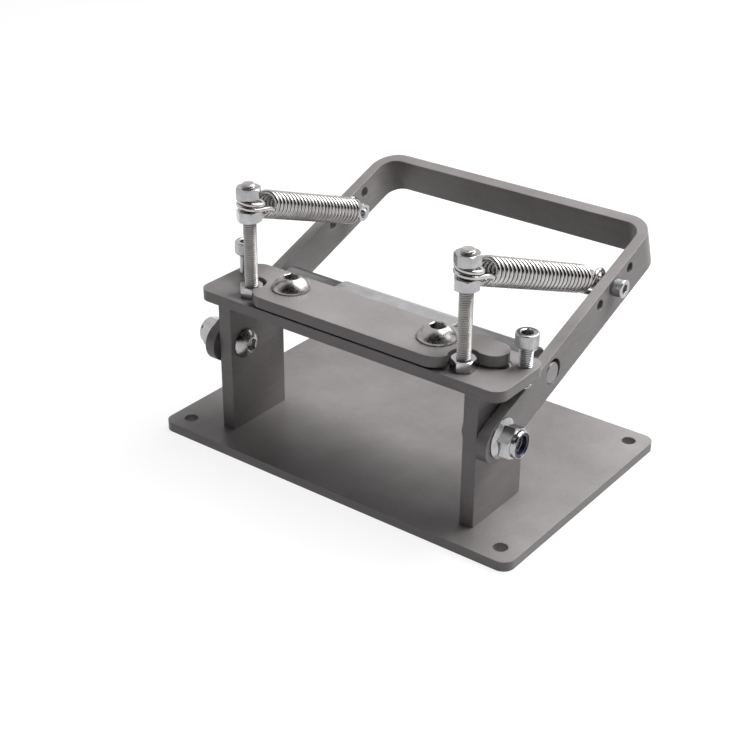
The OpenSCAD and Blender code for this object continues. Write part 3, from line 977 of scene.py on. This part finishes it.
def springEnds(v, s):
    # centres of the two loops, pulled against the stud and against the spring screw
    low, high = nodeBox("right_stud")
    under = nodeBox("lower_spring_nuts")[1].z
    above = nodeBox("upper_spring_nuts")[0].z
    slack = v["loopR"] - v["wire"] / 2 - v["slip"]
    stud = Vector((s * (low.x + high.x) / 2, (low.y + high.y) / 2, (under + above) / 2))
    pin = springScrewSeat(s)[0]
    pin.x = s * v["rearX"]
    pull = Vector((0, stud.y - pin.y, stud.z - pin.z)).normalized()
    front = stud + Vector((0, slack - studSet["d"] / 2, 0))
    return front, pin + pull * (slack - springScrewSet["d"] / 2)


def springPaths(v, name, s):
    front, rear = springEnds(v, s)
    axis = (rear - front).normalized()
    right = axis.cross(Vector((0, 0, 1))).normalized()
    over = right.cross(axis)
    r = v["loopR"]
    coilLength = (rear - front).length - v["lead"] - v["hookLead"]
    sweep = 2 * math.pi * v["turns"] + math.radians(v["startAngle"] - v["endAngle"][name])

    def coilPoint(share):
        # share runs from 0 at the first turn to 1 at the last
        angle = math.radians(v["startAngle"]) - share * sweep
        along = v["lead"] + v["wire"] / 2 + share * (coilLength - v["wire"])
        return front + axis * along + (right * math.cos(angle) + over * math.sin(angle)) * r

    # loops, from the free end to the tangent that leaves them on the right side
    rearDown, rightDown = (math.radians(angle) for angle in v["loopTilt"])
    tilt = Matrix.Rotation(rightDown, 3, "Y") @ Matrix.Rotation(-rearDown, 3, "X")
    loops = []
    count = int(v["loopTurns"] * v["perTurn"])
    for i in range(count + 1):
        back = (count - i) / v["perTurn"]
        angle = -2 * math.pi * back
        height = (back - v["loopTurns"] / 2) * v["loopPitch"] + v["loopRise"]
        loops.append(front + tilt @ Vector((r * math.cos(angle), r * math.sin(angle), height)))

    first = coilPoint(0)
    leave = (loops[-1] - loops[-2]).normalized() * v["leadPull"][0]
    meet = (coilPoint(shareStep) - first).normalized() * v["leadPull"][1]
    lead = hermite(loops[-1], leave, first, meet, v["leadSteps"])

    steps = v["turns"] * v["perTurn"]
    coil = [coilPoint(i / steps) for i in range(steps + 1)]

    # rear loop, round the spring screw beside the arm
    flat = Vector((0, axis.y, axis.z)).normalized()
    up = Vector((1, 0, 0)).cross(flat)
    loop = []
    count = v["rearSteps"]
    for i in range(count + 1):
        angle = math.radians(v["rearSweep"]) * i / count
        shift = Vector((s * (v["hookSide"] + v["rearShift"] * i / count), 0, 0))
        loop.append(rear + (flat * math.sin(angle) - up * math.cos(angle)) * r + shift)

    leave = (coil[-1] - coilPoint(1 - shareStep)).normalized() * v["hookPull"][0]
    hook = hermite(coil[-1], leave, loop[0], flat * v["hookPull"][1], v["hookSteps"])
    return loops, lead, coil, hook, loop[1:]


def addWire(name, path, v):
    mesh, owner = wireMesh(name, path, v["wire"] / 2 * mm)
    return addPiece(name, mesh, springWire, "wire"), owner


def addSprings(v):
    for name, s in sides.items():
        loops, lead, coil, hook, loop = springPaths(v, name, s)
        path = [p * mm for p in loops + lead]
        piece, owner = addWire(name + "SpringLoops", path, v)
        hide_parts(name + "_spring")
        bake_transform(piece)

        path = [p * mm for p in coil + hook + loop]
        piece, owner = addWire(name + "SpringCoil", path, v)
        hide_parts(name + "_spring", name + "_spring_hook")
        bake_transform(piece)


addSprings(springSet)
print("springs ready")
